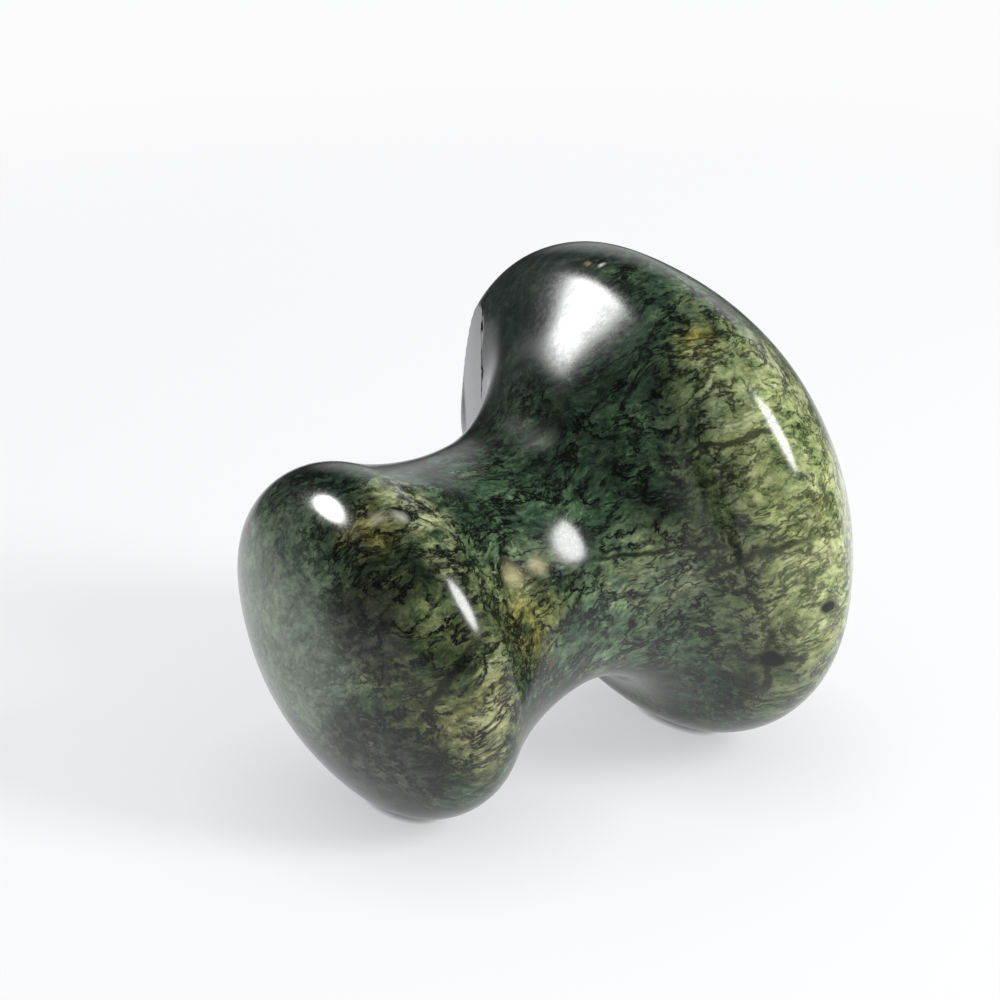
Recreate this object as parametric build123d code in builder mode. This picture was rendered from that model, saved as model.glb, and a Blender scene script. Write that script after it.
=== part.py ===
"""Mushroom-shaped gua sha massage stone: one carved piece, lying on its two rims.

The carving is a body of revolution. Its section is a chain of tangent arcs: a large dome, the
rounded rim under it, a hollow neck, a smaller rounded rim and a small dome. All sizes are in
millimetres. The row frame has +Z up, the floor at Z = 0 and the carving's axis in the XZ plane,
with the large head towards +X.
"""

import os
from math import asin, atan2, cos, degrees, hypot, sin

from build123d import *

# Driving dimensions. Stations are measured along the carving's axis from the middle of the neck.
NECK_DIAMETER = 20.3  # narrowest section, pinched between finger and thumb

LARGE_DIAMETER = 40.0  # widest section of the large head
LARGE_STATION = 13.3  # neck to that widest section
LARGE_ROUNDING = 4.9  # radius of the rounded rim, in section
LARGE_CROWN = 12.3  # widest section to the top of the large dome

SMALL_DIAMETER = 28.0  # widest section of the small head
SMALL_STATION = 12.7  # neck to that widest section
SMALL_ROUNDING = 4.8  # radius of the rounded rim, in section
SMALL_CROWN = 7.4  # widest section to the top of the small dome


class Head:
    """The arcs of one head, in section, with the neck at station 0 and the dome outwards.

    Three circles touch one another in turn: the dome's is centred on the axis, the rim's is at
    (station, rim_offset), and the hollow's is straight above the neck.
    """

    def __init__(self, diameter, station, rounding, crown):
        self.station = station
        self.rounding = rounding
        self.rim_offset = diameter / 2 - rounding
        self.top = station + crown
        self.dome_radius = (crown**2 + self.rim_offset**2 - rounding**2) / (2 * (crown - rounding))
        self.dome_centre = self.top - self.dome_radius

        neck = NECK_DIAMETER / 2
        drop = neck - self.rim_offset
        self.hollow_radius = (station**2 + drop**2 - rounding**2) / (2 * (rounding - drop))

        # The dome meets the rim on the line through their centres.
        self.dome_edge_angle = atan2(self.rim_offset, station - self.dome_centre)
        self.dome_edge = (
            self.dome_centre + self.dome_radius * cos(self.dome_edge_angle),
            self.dome_radius * sin(self.dome_edge_angle),
        )
        # The hollow meets the rim on the line through theirs.
        hollow_centre = neck + self.hollow_radius
        share = self.hollow_radius / (self.hollow_radius + rounding)
        self.hollow_edge = (
            share * station,
            hollow_centre + share * (self.rim_offset - hollow_centre),
        )


def draw_half_section(head, side):
    """Draw one head's arcs from the top of its dome to the neck, towards side = +1 or -1."""
    top = (side * head.top, 0)
    dome_edge = (side * head.dome_edge[0], head.dome_edge[1])
    hollow_edge = (side * head.hollow_edge[0], head.hollow_edge[1])
    dome = TangentArc(top, dome_edge, tangent=(0, 1))
    rim = TangentArc(dome_edge, hollow_edge, tangent=dome % 1)
    TangentArc(hollow_edge, (0, NECK_DIAMETER / 2), tangent=rim % 1)


large = Head(LARGE_DIAMETER, LARGE_STATION, LARGE_ROUNDING, LARGE_CROWN)
small = Head(SMALL_DIAMETER, SMALL_STATION, SMALL_ROUNDING, SMALL_CROWN)

# At rest the floor touches both rim circles, so the axis rises from the small head to the large.
span = large.station + small.station
rise = large.rim_offset - small.rim_offset
rest_tilt = atan2(rise, span) + asin((large.rounding - small.rounding) / hypot(span, rise))

# Height of the neck's centre, from the large rim's circle, which touches the floor.
neck_height = (
    large.rounding + large.rim_offset * cos(rest_tilt) - large.station * sin(rest_tilt)
)
# The domes reach furthest along X, and the origin is halfway between those two points.
large_reach = large.dome_centre * cos(rest_tilt) + large.dome_radius
small_reach = small.dome_centre * cos(rest_tilt) + small.dome_radius
neck_x = (small_reach - large_reach) / 2

rest_plane = Plane(
    origin=(neck_x, 0, neck_height),
    x_dir=(cos(rest_tilt), 0, sin(rest_tilt)),
    z_dir=(0, -1, 0),
)

with BuildPart() as massage_stone:
    with BuildSketch(rest_plane):
        with BuildLine():
            draw_half_section(large, +1)
            draw_half_section(small, -1)
            Line((large.top, 0), (-small.top, 0))
        make_face()
    revolve(axis=Axis(rest_plane.origin, rest_plane.x_dir))

massage_stone.part.label = "massage_stone"

os.makedirs("parts", exist_ok=True)
export_step(massage_stone.part, "parts/massage_stone.step")

box = massage_stone.part.bounding_box()
print(f"length along the axis {large.top + small.top:.1f}, rest tilt {degrees(rest_tilt):.2f} degrees")
print(f"neck centre at x {neck_x:.3f}, z {neck_height:.3f}")
print(f"dome radii {large.dome_radius:.2f} and {small.dome_radius:.2f}")
print(f"hollow radii {large.hollow_radius:.2f} and {small.hollow_radius:.2f}")
print(f"box {box.min} to {box.max}, volume {massage_stone.part.volume / 1000:.2f} cm3")
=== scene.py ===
from math import asin, atan2, cos, hypot, pi, radians, sin, tan

import bmesh
import bpy
from mathutils import Matrix, Vector, noise


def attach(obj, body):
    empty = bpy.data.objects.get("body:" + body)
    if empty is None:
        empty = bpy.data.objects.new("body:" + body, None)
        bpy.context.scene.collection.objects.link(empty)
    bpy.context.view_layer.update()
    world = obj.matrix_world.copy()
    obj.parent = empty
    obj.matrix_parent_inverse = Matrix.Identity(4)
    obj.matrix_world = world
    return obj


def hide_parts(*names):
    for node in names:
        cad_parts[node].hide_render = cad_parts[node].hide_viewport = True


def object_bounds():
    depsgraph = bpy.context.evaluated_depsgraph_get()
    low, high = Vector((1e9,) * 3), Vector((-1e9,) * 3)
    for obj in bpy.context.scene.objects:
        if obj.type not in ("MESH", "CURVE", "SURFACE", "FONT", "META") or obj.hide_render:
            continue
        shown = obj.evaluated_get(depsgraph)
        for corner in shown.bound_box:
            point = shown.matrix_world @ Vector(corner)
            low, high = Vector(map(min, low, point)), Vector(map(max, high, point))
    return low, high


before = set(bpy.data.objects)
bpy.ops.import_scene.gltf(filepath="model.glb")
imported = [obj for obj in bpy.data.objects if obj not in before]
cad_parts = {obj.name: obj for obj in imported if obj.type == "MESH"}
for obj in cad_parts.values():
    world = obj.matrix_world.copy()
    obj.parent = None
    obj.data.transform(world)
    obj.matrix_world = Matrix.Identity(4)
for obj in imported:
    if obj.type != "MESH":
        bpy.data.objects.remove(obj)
cad_low, cad_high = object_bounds()

MM = 0.001

# ---------------------------------------------------------------- the carving's section, in mm
# Stations are measured along the stone's axis from the middle of the neck.
NECK_RADIUS = 10.15
NECK_X = -2.700  # the middle of the neck, from the middle of the stone's length at rest
LARGE = {"radius": 20.0, "station": 13.3, "rounding": 4.9, "crown": 12.3}
SMALL = {"radius": 14.0, "station": 12.7, "rounding": 4.8, "crown": 7.4}


def arc(centre, radius, first, last):
    """A stretch of the section: its length, and its point and normal at a share of it.

    Angles are measured from the outward axis. A hollow arc has a negative radius.
    """

    def at(share):
        angle = first + (last - first) * share
        normal = Vector((cos(angle), sin(angle)))
        return centre + radius * normal, normal

    return abs(radius * (last - first)), at


def line(start, end):
    """A straight stretch, with the stone on its left as it runs to the neck."""
    run = end - start
    normal = Vector((run.y, -run.x)).normalized()
    return run.length, lambda share: (start + run * share, normal)


def down_to_neck(centre, radius, first):
    """The end of a rounded rim and the hollow that it touches, down to the middle of the neck."""
    drop = NECK_RADIUS - centre.y
    hollow = (centre.x**2 + drop**2 - radius**2) / (2 * (radius - drop))
    last = atan2(NECK_RADIUS + hollow - centre.y, -centre.x)
    hollow_centre = Vector((0.0, NECK_RADIUS + hollow))
    return [arc(centre, radius, first, last), arc(hollow_centre, -hollow, last, pi / 2)]


def head_section(radius, station, rounding, crown, flat=None):
    """One head from the top of its dome to the neck: dome, rounded rim and hollow.

    With flat, the rim is rubbed flat on its inner side: at this slope and for this many mm,
    before it rounds over into the hollow.
    """
    rim = Vector((station, radius - rounding))
    dome_radius = (crown**2 + rim.y**2 - rounding**2) / (2 * (crown - rounding))
    dome_centre = station + crown - dome_radius
    dome_end = atan2(rim.y, station - dome_centre)
    dome = arc(Vector((dome_centre, 0.0)), dome_radius, 0.0, dome_end)
    if flat is None:
        return [dome, *down_to_neck(rim, rounding, dome_end)]
    out = Vector((-sin(flat["slope"]), cos(flat["slope"])))
    down = Vector((-cos(flat["slope"]), -sin(flat["slope"])))
    start = rim + rounding * out
    end = start + flat["length"] * down
    turn = pi / 2 + flat["slope"]
    return [
        dome,
        arc(rim, rounding, dome_end, turn),
        line(start, end),
        *down_to_neck(end - flat["rounding"] * out, flat["rounding"], turn),
    ]


def section_length(section):
    return sum(length for length, _ in section)


def on_section(section, share):
    """The point (station, radius) and its outward normal at a share of the section's length."""
    left = share * section_length(section)
    for length, at in section:
        if left <= length:
            break
        left -= length
    return at(min(1.0, left / length))


large_section = head_section(**LARGE)
small_section = head_section(**SMALL)
large_share = section_length(large_section) / (
    section_length(large_section) + section_length(small_section)
)

# The large head's inner side is rubbed flat on top, and less and less to either side of that.
FLAT = {"slope": radians(38), "length": 6.0, "rounding": 5.0}
FLAT_MIDDLE = radians(98)  # the angle about the axis, from the stone's own y towards its z
FLAT_REACH = radians(62)
flat_section = head_section(**LARGE, flat=FLAT)


def stone_point(direction):
    """The point of the carving, and its normal, for a direction on the unit sphere.

    The angle from the stone's axis becomes distance along the section, from one dome's top to the
    other's, so the grid stays even from end to end.
    """
    travelled = atan2(hypot(direction.y, direction.z), direction.x) / pi
    if travelled <= large_share:
        share = travelled / large_share
        place, normal = on_section(large_section, share)
        around = abs(atan2(direction.z, direction.y) - FLAT_MIDDLE)
        around = min(around, 2 * pi - around) / FLAT_REACH
        if around < 1:
            flat_place, flat_normal = on_section(flat_section, share)
            flatness = (1 + cos(pi * around)) / 2
            place = place.lerp(flat_place, flatness)
            normal = normal.lerp(flat_normal, flatness)
    else:
        place, normal = on_section(small_section, (1 - travelled) / (1 - large_share))
        place.x, normal.x = -place.x, -normal.x
    out = Vector((0.0, direction.y, direction.z))
    if out.length > 1e-9:
        out.normalize()
    axis = Vector((1.0, 0.0, 0.0))
    return axis * place.x + out * place.y, axis * normal.x + out * normal.y


# A shallow facet on the far side of the large head's inner flank. It starts at a hairline crack.
FACET = {"edge": Vector((8.4, 11.4, 11.0)), "normal": Vector((-0.833, 0.492, 0.254))}
FACET_MIDDLE = Vector((8.6, 13.4, 8.5))
FACET_REACH = 8.0
FACET_FADE = 0.25  # the outer share of its reach in which it dies out


def faceted(place):
    """The place, moved down on to the facet if it stands proud of it."""
    proud = (place - FACET["edge"]).dot(FACET["normal"])
    nearness = 1 - (place - FACET_MIDDLE).length / FACET_REACH
    if proud <= 0 or nearness <= 0:
        return place
    return place - FACET["normal"] * proud * min(1.0, nearness / FACET_FADE)


# ---------------------------------------------------------------- where the stone lies
rim_gap = (
    LARGE["station"] + SMALL["station"],
    (LARGE["radius"] - LARGE["rounding"]) - (SMALL["radius"] - SMALL["rounding"]),
)
rest_tilt = atan2(rim_gap[1], rim_gap[0]) + asin(
    (LARGE["rounding"] - SMALL["rounding"]) / hypot(*rim_gap)
)


def neck_middle():
    """The middle of the neck in the row frame, in metres."""
    rim_offset = LARGE["radius"] - LARGE["rounding"]
    height = (
        LARGE["rounding"] + rim_offset * cos(rest_tilt) - LARGE["station"] * sin(rest_tilt)
    )
    return Vector((NECK_X * MM, 0.0, height * MM + cad_low.z))


# From the stone's own axes, in mm, to the row frame, in metres: x runs along the stone's axis.
neck = neck_middle()
at_rest = Matrix.Translation(neck) @ Matrix.Rotation(-rest_tilt, 4, "Y") @ Matrix.Scale(MM, 4)


# ---------------------------------------------------------------- the stone's mesh
GRID = 128  # squares along each edge of the cube that is wrapped round the stone
HAND = 0.10  # mm, how far the hand polish wanders from the true section


def cube_sphere(count):
    """A unit sphere of even squares: the grid of a cube, blown up. Returns points and faces."""
    index, points, faces = {}, [], []

    def corner(key):
        if key not in index:
            index[key] = len(points)
            spread = [tan((k / count * 2 - 1) * pi / 4) for k in key]
            points.append(Vector(spread).normalized())
        return index[key]

    for axis in range(3):
        for side in (0, count):
            for i in range(count):
                for j in range(count):
                    ring = []
                    for a, b in ((i, j), (i + 1, j), (i + 1, j + 1), (i, j + 1)):
                        key = [0, 0, 0]
                        key[axis] = side
                        key[(axis + 1) % 3] = a
                        key[(axis + 2) % 3] = b
                        ring.append(corner(tuple(key)))
                    faces.append(ring if side else ring[::-1])
    return points, faces


def hand_polish(place):
    """Slow wander of a surface finished by hand, in mm, between -HAND and HAND."""
    broad = noise.noise(place / 11.0)
    close = noise.noise(place / 4.5 + Vector((7.0, 3.0, 1.0)))
    return HAND * (0.8 * broad + 0.2 * close)


def make_stone():
    directions, faces = cube_sphere(GRID)
    points = []
    for direction in directions:
        place, normal = stone_point(direction)
        points.append(at_rest @ (faceted(place) + normal * hand_polish(place)))
    mesh = bpy.data.meshes.new("jade_stone")
    mesh.from_pydata(points, [], faces)
    mesh.polygons.foreach_set("use_smooth", [True] * len(mesh.polygons))
    mesh.update()
    stone = bpy.data.objects.new("jade_stone", mesh)
    bpy.context.scene.collection.objects.link(stone)
    return stone


# ---------------------------------------------------------------- shader helpers
class Tree:
    """A material's node tree, with a short call for each kind of node that the stone needs."""

    def __init__(self, name):
        self.material = bpy.data.materials.new(name)
        self.material.use_nodes = True
        self.nodes = self.material.node_tree.nodes
        self.links = self.material.node_tree.links
        self.surface = self.nodes["Principled BSDF"]

    def set(self, socket, value):
        """Links an output to a socket, or sets a plain value on it."""
        if isinstance(value, bpy.types.NodeSocket):
            self.links.new(value, socket)
        else:
            socket.default_value = value

    def add(self, kind, inputs, **settings):
        made = self.nodes.new("ShaderNode" + kind)
        for name, value in settings.items():
            setattr(made, name, value)
        for key, value in inputs.items():
            self.set(made.inputs[key], value)
        return made

    def math(self, operation, a, b=0.0):
        return self.add("Math", {0: a, 1: b}, operation=operation).outputs[0]

    def vector(self, operation, a, b=(0.0, 0.0, 0.0)):
        name = "Value" if operation in ("DISTANCE", "DOT_PRODUCT", "LENGTH") else "Vector"
        return self.add("VectorMath", {0: a, 1: b}, operation=operation).outputs[name]

    def noise(self, where, size, detail=3.0, roughness=0.55, output=0):
        """Cloudy noise with clouds of about this size, in mm. Output 0 is a number, 1 a colour."""
        inputs = {
            "Vector": where,
            "Scale": 1.0 / size,
            "Detail": detail,
            "Roughness": roughness,
        }
        return self.add("TexNoise", inputs).outputs[output]

    def step(self, value, low, high):
        """0 below low and 1 above high, smooth between. With low above high it falls instead."""
        inputs = {"Value": value, "From Min": low, "From Max": high}
        return self.add("MapRange", inputs, interpolation_type="SMOOTHSTEP").outputs[0]

    def mix(self, factor, a, b):
        """Colour a, turned into colour b as far as the factor says."""
        made = self.add("Mix", {"Factor": factor}, data_type="RGBA")
        self.set(made.inputs[6], a)
        self.set(made.inputs[7], b)
        return made.outputs[2]

    def ramp(self, value, stops):
        """A colour from a list of (position, colour)."""
        made = self.add("ValToRGB", {"Fac": value})
        while len(made.color_ramp.elements) < len(stops):
            made.color_ramp.elements.new(1.0)
        for element, (position, colour) in zip(made.color_ramp.elements, stops):
            element.position = position
            element.color = colour
        return made.outputs[0]


def most(tree, masks):
    """The strongest of some masks at each place."""
    total = masks[0]
    for mask in masks[1:]:
        total = tree.math("MAXIMUM", total, mask)
    return total


def scaled(tree, mask, strength):
    return tree.math("MULTIPLY", mask, strength)


def squeezed(tree, mask, least):
    """A mask that runs from least to 1 instead of from 0 to 1."""
    return tree.math("ADD", scaled(tree, mask, 1.0 - least), least)


def rgb(red, green, blue):
    """A colour as given, 0 to 255, turned into the linear values of a shader."""

    def linear(level):
        share = level / 255
        return share / 12.92 if share <= 0.04045 else ((share + 0.055) / 1.055) ** 2.4

    return (linear(red), linear(green), linear(blue), 1.0)


# ---------------------------------------------------------------- polished jade
# Places in the stone are in mm on its own axes: x from the neck to the large head, z up.
GRAIN = Vector((0.88, -0.43, 0.20))  # the stone's streaks run this way
LAYER = Vector((0.065, 0.525, 0.844))  # and its layers lie across this one
CROSS = LAYER.cross(GRAIN).normalized()

# Kinds of stone and one painted light, each from its darkest clumps to its lightest, RGB to 255.
KINDS = {
    "green": ((20, 32, 24), (42, 60, 45), (61, 84, 61), (99, 124, 91)),
    "pale": ((44, 60, 46), (80, 102, 77), (106, 130, 98), (142, 158, 124)),
    "olive": ((64, 80, 48), (140, 154, 100), (180, 186, 130), (206, 208, 162)),
    "slate": ((40, 47, 44), (52, 60, 56), (62, 70, 66), (80, 90, 84)),
    "moss": ((32, 38, 24), (58, 68, 42), (90, 98, 62), (142, 142, 94)),
    "ochre": ((52, 50, 16), (100, 98, 46), (146, 142, 80), (190, 182, 122)),
    "straw": ((84, 90, 58), (130, 138, 96), (158, 164, 122), (196, 196, 158)),
    # not a kind of stone: painted light, the pale haze on the small head's dome where light falls
    "painted_light": ((88, 100, 86), (116, 130, 112), (136, 150, 130), (160, 172, 150)),
    "smoke": ((36, 36, 32), (56, 56, 50), (72, 72, 64), (96, 94, 80)),
}
CLUMP_DEPTHS = (0.37, 0.46, 0.54, 0.63)  # where those four colours lie in the clumpy noise

OLIVE_WAY = (0.35, -0.90, 0.06)  # the green turns olive this way, towards the large head's rim
OLIVE_START = 16.5
OLIVE_FULL = 28.0
SLATE = (9.0, 5.5, 15.5)  # the middle of the smooth grey stone on top of the large head
DOME = (-21.5, 3.5, 3.5)  # the middle of the painted light, a pale haze, on the small head's dome

# Spots of a kind of stone: centre, full within, gone beyond, and strength.
OCHRE_SPOTS = [
    ((-14.8, -5.6, 12.2), 1.0, 3.2, 0.90),
    ((-6.8, -11.2, 2.5), 1.0, 4.4, 0.75),
    ((-12.8, -14.0, -0.6), 0.5, 3.6, 0.85),
    ((-13.5, -13.4, -4.0), 0.8, 4.0, 0.50),
    ((12.1, -11.0, 16.7), 0.4, 2.4, 0.90),
    ((13.0, -20.0, -6.8), 0.4, 2.2, 0.70),
    ((14.0, -19.6, 4.4), 0.4, 2.0, 0.60),
    ((-16.0, -11.5, -1.0), 1.0, 4.5, 0.35),
]
STRAW_SPOTS = [
    ((-11.2, -5.4, 12.4), 1.4, 4.6, 0.90),
    ((-13.2, -14.0, -3.6), 1.2, 4.6, 0.45),
    ((-11.2, -8.8, 10.6), 0.8, 3.0, 0.50),
    ((-11.8, -13.4, 3.8), 0.8, 3.2, 0.50),
    ((-4.0, -9.4, 3.8), 1.0, 4.5, 0.40),
    ((4.6, -11.4, 1.0), 1.5, 5.5, 0.45),
    ((13.3, -19.3, 5.0), 1.0, 3.4, 0.80),
    ((12.4, -19.7, 0.8), 0.8, 3.2, 0.60),
    ((-13.0, -13.9, -0.8), 0.6, 2.6, 0.70),
]
# Dark blots, given in the same way.
BLOTS = [
    ((-16.4, -7.4, 9.7), 0.3, 2.4, 0.60),
    ((-14.4, -9.6, 9.6), 0.4, 2.4, 0.75),
    ((-14.6, -12.8, 5.0), 0.3, 2.0, 0.70),
    ((9.4, -16.5, -7.0), 1.2, 4.4, 0.55),
    ((9.0, -14.4, -9.6), 0.7, 2.6, 0.80),
    ((5.0, -3.8, 11.0), 1.0, 3.2, 0.95),
    ((6.2, -5.6, 11.4), 0.6, 2.6, 0.80),
    ((8.0, -6.0, 13.8), 0.6, 2.8, 0.75),
    ((11.3, -17.8, 6.4), 0.3, 1.8, 0.60),
    ((9.8, -16.0, 8.6), 0.3, 1.5, 0.55),
    ((12.4, -17.8, 8.4), 0.6, 3.2, 0.45),
]
# Two black spots with sharp edges: centre, full within, and gone beyond.
BLACK_SPOTS = [
    ((9.4, -16.6, -7.0), 0.7, 1.7),
    ((13.2, -19.7, -3.3), 0.3, 1.0),
]
# Seams and the crack: across, offset, half width, middle and reach, as seam() takes them.
SEAMS = [
    ((0.366, 0.345, 0.864), 0.06, 0.32, (5.0, -12.2, 2.2), 6.5),
    ((0.135, 0.491, 0.861), -5.43, 0.40, (9.3, -16.8, 1.8), 5.6),
    ((0.186, 0.463, 0.867), 3.96, 0.32, (10.4, -14.8, 10.3), 4.6),
    ((-0.398, 0.674, 0.623), -0.65, 0.60, (-15.1, -12.0, 2.2), 4.8),
    ((0.770, -0.610, -0.180), 18.60, 0.50, (9.4, -16.5, -7.5), 4.8),
    ((0.420, 0.280, 0.850), -6.65, 0.40, (9.4, -16.6, -7.0), 3.4),
]
CRACK = ((0.770, -0.610, -0.180), -2.40, 0.055, (8.6, 11.5, 11.0), 5.5)
# Small stray flecks and two painted glints atop the large head: centre, gone beyond, and colour.
FLECKS_AND_GLINTS = [
    ((-6.0, -9.7, 5.5), 1.43, (176, 168, 128)),
    ((-3.8, -9.2, 5.2), 1.30, (178, 172, 136)),
    ((-13.9, -5.7, 12.6), 1.17, (176, 176, 150)),
    ((-12.6, -6.4, 12.5), 0.91, (178, 180, 160)),
    ((-15.3, -5.4, 11.9), 0.78, (168, 166, 120)),
    ((-5.4, -10.9, -1.2), 0.455, (110, 58, 34)),
    # painted glints: a gold and a white sparkle of light on top of the large head
    ((11.6, 0.5, 19.7), 0.585, (232, 206, 140)),
    ((12.0, -1.1, 19.8), 0.455, (250, 250, 245)),
]
FLECK_AND_GLINT_STRENGTH = 0.7
VEIN_BLACK = rgb(9, 12, 10)
CRACK_BLACK = rgb(10, 8, 6)
# How dark each kind of vein is, and how far the fine ones fade out where the stone is calm.
VEIN_STRENGTH = {"seam": 0.85, "mottle": 0.85, "hairs": 0.90, "net": 1.00, "lace": 0.55}
# on the small head's dome the fine veins fade under its painted light
CALM = {"rim": 0.20, "slate": 0.85, "dome": 0.65}

# The polish: its roughness, and what some places add to that.
ROUGHNESS = 0.17
GRIT = 0.12  # fine unevenness, everywhere
FOOT = ((4.4, 0.3, 11.3), 3.0, 6.2)  # the foot of the large head's hollow: centre, full, gone
FOOT_ROUGHER = 0.30
SHOULDER = ((8.5, -1.0, 16.0), 3.0, 8.0)  # the flat on top of the large head: centre, full, gone
SHOULDER_ROUGHER = 0.06
SCUFFS = 0.07  # on the shoulder only
SHINE = 0.5  # the specular level of plain polish
FOOT_DULLER = 0.9  # the share of that which the foot loses; the crack loses it all


def along_grain(tree, place, long, deep=1.5):
    """The same place, squeezed along the grain so that a texture comes out drawn out there."""
    shares = [
        tree.vector("DOT_PRODUCT", place, direction / stretch)
        for direction, stretch in ((GRAIN, long), (CROSS, deep), (LAYER, 1.0))
    ]
    return tree.add("CombineXYZ", dict(zip("XYZ", shares))).outputs[0]


def shaken(tree, place, size, amount, detail=2.0):
    """A place pushed about by a noise of this size, by up to about this amount, in mm."""
    push = tree.vector("SUBTRACT", tree.noise(place, size, detail, output=1), [0.5] * 3)
    return tree.vector("ADD", place, tree.vector("MULTIPLY", push, [2 * amount] * 3))


def patch(tree, place, centre, inner, outer):
    """1 within inner mm of the centre, 0 beyond outer."""
    return tree.step(tree.vector("DISTANCE", place, centre), outer, inner)


def seam(tree, place, across, offset, width, middle, reach):
    """A dark seam: a sheet in the stone that crosses one direction at an offset from the neck.

    It is 2 * width thick and dies out at this reach from its middle, all in mm.
    """
    away = tree.math("SUBTRACT", tree.vector("DOT_PRODUCT", place, across), offset)
    sheet = tree.step(tree.math("ABSOLUTE", away), width, width * 0.3)
    return tree.math("MULTIPLY", sheet, patch(tree, place, middle, reach * 0.6, reach))


def thread(tree, where, size, width, detail, roughness):
    """Thin winding lines: 1 on the line where a noise crosses its middle value, 0 away from it."""
    height = tree.noise(where, size, detail, roughness)
    away = tree.math("ABSOLUTE", tree.math("SUBTRACT", height, 0.5))
    return tree.step(away, width, 0.0)


def shades(tree, depth, kind):
    """One kind of stone, or the painted light, from its darkest clumps to its lightest."""
    return tree.ramp(depth, [(at, rgb(*colour)) for at, colour in zip(CLUMP_DEPTHS, KINDS[kind])])


def stone_colours(tree, bent, grain, depth, rim):
    """Deep green jade, olive and ochre in places; painted light pales the small head's dome."""

    def turned(colour, kind, mask, strength):
        return tree.mix(scaled(tree, mask, strength), colour, shades(tree, depth, kind))

    def spotted(colour, kind, spots, clumps):
        shade = shades(tree, depth, kind)
        for centre, full, gone, strength in spots:
            spot = scaled(tree, patch(tree, bent, centre, full, gone), strength)
            colour = tree.mix(tree.math("MULTIPLY", spot, clumps), colour, shade)
        return colour

    lower_flank = patch(tree, bent, (3.0, -11.0, -3.0), 3.0, 9.0)
    upper_left = patch(tree, bent, SLATE, 5.0, 10.5)
    near_side = patch(tree, bent, (-14.5, -10.0, 4.5), 4.5, 9.5)
    dome = patch(tree, bent, DOME, 5.5, 13.0)
    dome_spot = patch(tree, bent, (-18.0, -7.0, 6.0), 1.5, 5.0)
    dome_edge = patch(tree, bent, (-19.0, -5.5, -6.5), 3.0, 7.5)
    broad_clumps = tree.step(tree.noise(grain, size=1.8, detail=3.0), 0.30, 0.48)
    fine_clumps = tree.step(tree.noise(grain, size=1.5, detail=4.0, roughness=0.6), 0.34, 0.54)

    colour = shades(tree, depth, "green")
    colour = turned(colour, "pale", lower_flank, 0.75)
    colour = turned(colour, "olive", rim, 1.0)
    colour = turned(colour, "slate", upper_left, 0.9)
    colour = turned(colour, "moss", near_side, 0.7)
    colour = spotted(colour, "ochre", OCHRE_SPOTS, broad_clumps)
    colour = spotted(colour, "straw", STRAW_SPOTS, fine_clumps)
    # painted light: the small head's dome is painted pale where the back-left light falls on it
    colour = turned(colour, "painted_light", dome, 0.9)
    return turned(colour, "smoke", most(tree, [dome_spot, dome_edge]), 0.8)


def dark_marks(tree, place, bent, frayed, grain, quiet):
    """Where the stone is dark: spots, blots, seams, and fine veins through it all.

    The fine veins are fainter where quiet is below 1.
    """
    ragged = shaken(tree, place, size=1.8, amount=1.6, detail=6.0)
    wavering = shaken(tree, place, size=2.5, amount=0.7)
    wavering = shaken(tree, wavering, size=0.6, amount=0.25, detail=4.0)
    clots = tree.step(tree.noise(grain, size=1.0, detail=5.0, roughness=0.7), 0.36, 0.56)
    clots = squeezed(tree, clots, 0.55)
    marks = [patch(tree, frayed, *values) for values in BLACK_SPOTS]
    for centre, full, gone, strength in BLOTS:
        blot = tree.math("MULTIPLY", patch(tree, ragged, centre, full, gone), clots)
        marks.append(scaled(tree, blot, strength))
    for values in SEAMS:
        marks.append(scaled(tree, seam(tree, wavering, *values), VEIN_STRENGTH["seam"]))

    # a net of threads that swell, and stop in places
    swelling = scaled(tree, tree.noise(bent, size=1.3, detail=2.0), 0.16)
    present = tree.step(tree.noise(bent, size=2.4, detail=3.0), 0.36, 0.52)
    net = thread(tree, grain, size=2.0, width=swelling, detail=5.0, roughness=0.65)
    net = tree.math("MULTIPLY", net, present)
    # long hairs, a finer lace in broken pieces, and small dark clumps
    drawn_out = along_grain(tree, bent, long=3.0, deep=2.0)
    hairs = thread(tree, drawn_out, size=4.0, width=0.024, detail=5.0, roughness=0.65)
    drawn_out = along_grain(tree, frayed, long=3.2, deep=2.2)
    lace = thread(tree, drawn_out, size=1.0, width=0.060, detail=3.0, roughness=0.55)
    broken = tree.step(tree.noise(frayed, size=1.1, detail=2.0), 0.38, 0.52)
    lace = tree.math("MULTIPLY", lace, broken)
    mottle = tree.step(tree.noise(grain, size=1.2, detail=5.0, roughness=0.70), 0.575, 0.67)

    veins = {"mottle": mottle, "hairs": hairs, "net": net, "lace": lace}
    fine_veins = [scaled(tree, vein, VEIN_STRENGTH[name]) for name, vein in veins.items()]
    marks.append(tree.math("MULTIPLY", most(tree, fine_veins), quiet))
    return most(tree, marks)


def polish_roughness(tree, place, grain, foot):
    """Satin in the large head's hollow, scuffed on its shoulder, and finely uneven everywhere."""
    shoulder = patch(tree, place, *SHOULDER)
    scuffs = tree.step(tree.noise(grain, size=0.35, detail=5.0, roughness=0.7), 0.40, 0.62)
    grit = tree.math("SUBTRACT", tree.noise(place, size=0.25, detail=2.0), 0.5)
    rough = tree.math("ADD", scaled(tree, foot, FOOT_ROUGHER), scaled(tree, grit, GRIT))
    scuffed = tree.math("MULTIPLY", shoulder, scaled(tree, scuffs, SCUFFS))
    rough = tree.math("ADD", rough, scuffed)
    rough = tree.math("ADD", rough, scaled(tree, shoulder, SHOULDER_ROUGHER))
    return tree.math("ADD", rough, ROUGHNESS)


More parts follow.
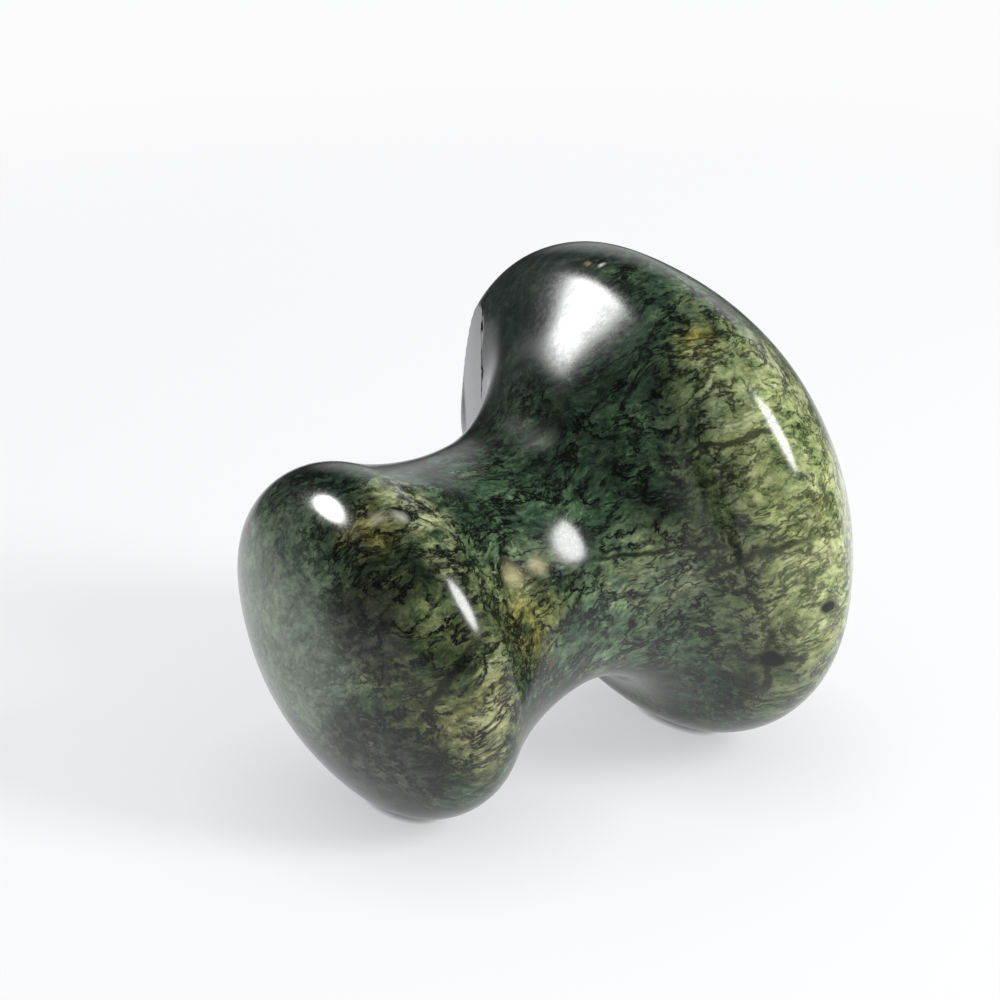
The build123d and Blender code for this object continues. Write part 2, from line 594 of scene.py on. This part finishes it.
def make_jade():
    tree = Tree("polished_jade")
    own = tree.add("TexCoord", {}).outputs["Object"]
    place = tree.add(
        "Mapping",
        {"Vector": own, "Location": neck, "Rotation": (0.0, -rest_tilt, 0.0), "Scale": [MM] * 3},
        vector_type="TEXTURE",
    ).outputs[0]
    bent = shaken(tree, place, size=6.0, amount=1.3)
    frayed = shaken(tree, bent, size=0.8, amount=0.25, detail=4.0)
    grain = along_grain(tree, frayed, long=1.9)

    # how light the stone is: slow clouds, streaky clumps and single grains
    broad = tree.noise(bent, size=5.0, detail=2.0)
    clump = tree.noise(grain, size=0.65, detail=6.0, roughness=0.75)
    grains = tree.noise(place, size=0.22, detail=3.0, roughness=0.6)
    depth = tree.math("ADD", scaled(tree, broad, 0.35), scaled(tree, clump, 0.60))
    depth = tree.math("ADD", depth, scaled(tree, grains, 0.05))

    drift = scaled(tree, tree.noise(grain, size=3.0, detail=4.0, roughness=0.6), 9.0)
    rimwards = tree.math("ADD", tree.vector("DOT_PRODUCT", bent, OLIVE_WAY), drift)
    rim = tree.step(rimwards, OLIVE_START, OLIVE_FULL)
    colour = stone_colours(tree, bent, grain, depth, rim)

    calm = {
        "rim": rim,
        "slate": patch(tree, bent, SLATE, 4.0, 9.5),
        # the fine veins fade here under the painted light on the small head's dome
        "dome": patch(tree, bent, DOME, 5.0, 13.0),
    }
    calm = most(tree, [scaled(tree, mask, CALM[name]) for name, mask in calm.items()])
    quiet = tree.math("SUBTRACT", 1.0, calm)
    marks = dark_marks(tree, place, bent, frayed, grain, quiet)
    colour = tree.mix(marks, colour, VEIN_BLACK)

    # a hairline crack runs up the far side of the large head
    crack = seam(tree, shaken(tree, place, size=1.5, amount=0.2), *CRACK)
    colour = tree.mix(crack, colour, CRACK_BLACK)
    # stray flecks, and the painted glints on top of the large head
    for centre, gone, speck_colour in FLECKS_AND_GLINTS:
        spot = patch(tree, frayed, centre, 0.0, gone)
        colour = tree.mix(scaled(tree, spot, FLECK_AND_GLINT_STRENGTH), colour, rgb(*speck_colour))

    foot = patch(tree, place, *FOOT)
    dulled = most(tree, [crack, scaled(tree, foot, FOOT_DULLER)])
    shine = tree.math("SUBTRACT", SHINE, scaled(tree, dulled, SHINE))

    inputs = tree.surface.inputs
    tree.set(inputs["Base Color"], colour)
    tree.set(inputs["Specular IOR Level"], shine)
    tree.set(inputs["Roughness"], polish_roughness(tree, place, grain, foot))
    inputs["IOR"].default_value = 1.45
    return tree.material


stone = make_stone()
stone.data.materials.append(make_jade())
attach(stone, "root")
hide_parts("massage_stone")


# ---------------------------------------------------------------- floor, light and camera
# In metres. The table's white starts to fade at "solid" from its middle and ends at "gone".
TABLE = {"radius": 0.20, "solid": 0.05, "gone": 0.17}
TABLE_MIDDLE = Vector((0.02, 0.03, 0.0))
TABLE_GLOW = 0.67  # the strength of its own light
TABLE_SHADE = ((0.010, 0.75), (0.0005, 0.10))  # under anything this near, only this share is left


def make_floor():
    """A white table top with some light of its own, which fades out into the room."""
    bm = bmesh.new()
    bmesh.ops.create_circle(bm, cap_ends=True, segments=128, radius=TABLE["radius"])
    bmesh.ops.translate(bm, verts=bm.verts, vec=TABLE_MIDDLE + Vector((0.0, 0.0, cad_low.z)))
    mesh = bpy.data.meshes.new("table")
    bm.to_mesh(mesh)
    bm.free()
    floor = bpy.data.objects.new("table", mesh)
    bpy.context.scene.collection.objects.link(floor)
    tree = Tree("white_table")
    inputs = tree.surface.inputs
    inputs["Base Color"].default_value = rgb(143, 144, 146)
    inputs["Roughness"].default_value = 0.8
    inputs["Specular IOR Level"].default_value = 0.0
    inputs["Emission Color"].default_value = (0.98, 0.985, 1.0, 1.0)
    # its own light falls off a little under the stone, and almost wholly where the stone touches
    glow = TABLE_GLOW
    for reach, left in TABLE_SHADE:
        open_air = tree.add("AmbientOcclusion", {"Distance": reach}, samples=8).outputs["AO"]
        glow = tree.math("MULTIPLY", squeezed(tree, open_air, left), glow)
    tree.set(inputs["Emission Strength"], glow)
    own = tree.add("TexCoord", {}).outputs["Object"]
    away = tree.vector("DISTANCE", own, TABLE_MIDDLE)
    tree.set(inputs["Alpha"], tree.step(away, TABLE["gone"], TABLE["solid"]))
    mesh.materials.append(tree.material)


# The pale screen behind the stone, in degrees: it is full within "inner" and gone beyond "outer".
SCREEN = {"azimuth": 42, "elevation": 20, "inner": 8, "outer": 30, "strength": 0.9}
# Soft lights: where they are in degrees and metres, how large in metres, and how strong in watts.
RIGHT_SOFTBOX = {
    "azimuth": -61,
    "elevation": 31,
    "distance": 0.5,
    "width": 0.15,
    "height": 0.26,
    "power": 2.5,
}
BACK_LEFT_SOFTBOX = {
    "azimuth": 131,
    "elevation": 39,
    "distance": 0.5,
    "width": 0.26,
    "height": 0.20,
    "power": 4.6,
}


def aim(azimuth, elevation):
    """A direction by its angles in degrees: azimuth anticlockwise from +X, elevation above level."""
    turn, rise = radians(azimuth), radians(elevation)
    return Vector((cos(turn) * cos(rise), sin(turn) * cos(rise), sin(rise)))


def softbox(name, azimuth, elevation, distance, width, height, power):
    """A soft oval light aimed at the stone from this direction."""
    towards = aim(azimuth, elevation) * distance
    light = bpy.data.lights.new(name, "AREA")
    light.shape = "ELLIPSE"
    light.size = width
    light.size_y = height
    light.energy = power
    lamp = bpy.data.objects.new(name, light)
    bpy.context.scene.collection.objects.link(lamp)
    middle = (cad_low + cad_high) / 2
    lamp.location = middle + towards
    lamp.rotation_euler = (-towards).to_track_quat("-Z", "Y").to_euler()
    return lamp


def make_room():
    """White to the camera, a bright tent to the matt surfaces and a dim room in the polish."""
    world = bpy.data.worlds.new("studio")
    bpy.context.scene.world = world
    world.use_nodes = True
    nodes, links = world.node_tree.nodes, world.node_tree.links
    path = nodes.new("ShaderNodeLightPath")

    def backdrop(colour, strength):
        made = nodes.new("ShaderNodeBackground")
        made.inputs["Color"].default_value = (*colour, 1.0)
        made.inputs["Strength"].default_value = strength
        return made.outputs[0]

    def choose(share, otherwise, chosen):
        made = nodes.new("ShaderNodeMixShader")
        for socket, source in zip(made.inputs, (share, otherwise, chosen)):
            links.new(source, socket)
        return made.outputs[0]

    dim = backdrop((0.9, 0.95, 1.0), strength=0.05)
    tent = backdrop((0.98, 0.985, 1.0), strength=0.66)
    white = backdrop((0.97, 0.97, 0.98), strength=1.0)

    # a pale screen stands behind the stone and fades out at its edges
    sweep = backdrop((0.97, 0.98, 1.0), SCREEN["strength"])
    towards = nodes.new("ShaderNodeVectorMath")
    towards.operation = "DOT_PRODUCT"
    towards.inputs[1].default_value = aim(SCREEN["azimuth"], SCREEN["elevation"])
    links.new(nodes.new("ShaderNodeTexCoord").outputs["Generated"], towards.inputs[0])
    edge = nodes.new("ShaderNodeMapRange")
    edge.interpolation_type = "SMOOTHSTEP"
    edge.inputs["From Min"].default_value = cos(radians(SCREEN["outer"]))
    edge.inputs["From Max"].default_value = cos(radians(SCREEN["inner"]))
    links.new(towards.outputs["Value"], edge.inputs["Value"])
    polish = choose(edge.outputs[0], dim, sweep)

    lit = choose(path.outputs["Is Diffuse Ray"], polish, tent)
    shown = choose(path.outputs["Is Camera Ray"], lit, white)
    links.new(shown, nodes["World Output"].inputs["Surface"])


# The camera: degrees round from the front towards +X and up, metres from AIM, and lens in mm.
VIEW = {"side": -37.7, "elevation": 21.0, "distance": 0.3017, "lens": 137.9}
AIM = Vector((0.0074, 0.0147, 0.0150))


def make_camera():
    side, rise = radians(VIEW["side"]), radians(VIEW["elevation"])
    back = Vector((sin(side) * cos(rise), -cos(side) * cos(rise), sin(rise)))
    data = bpy.data.cameras.new("camera")
    data.lens = VIEW["lens"]
    data.sensor_width = 36.0
    data.clip_start = 0.01
    camera = bpy.data.objects.new("camera", data)
    bpy.context.scene.collection.objects.link(camera)
    camera.location = AIM + back * VIEW["distance"]
    camera.rotation_euler = (-back).to_track_quat("-Z", "Y").to_euler()
    bpy.context.scene.camera = camera


make_floor()
make_room()
softbox("right_softbox", **RIGHT_SOFTBOX)
kicker = softbox("back_left_softbox", **BACK_LEFT_SOFTBOX)
kicker.visible_diffuse = False  # it only draws highlights in the polish
make_camera()
bpy.context.scene.view_settings.view_transform = "Standard"
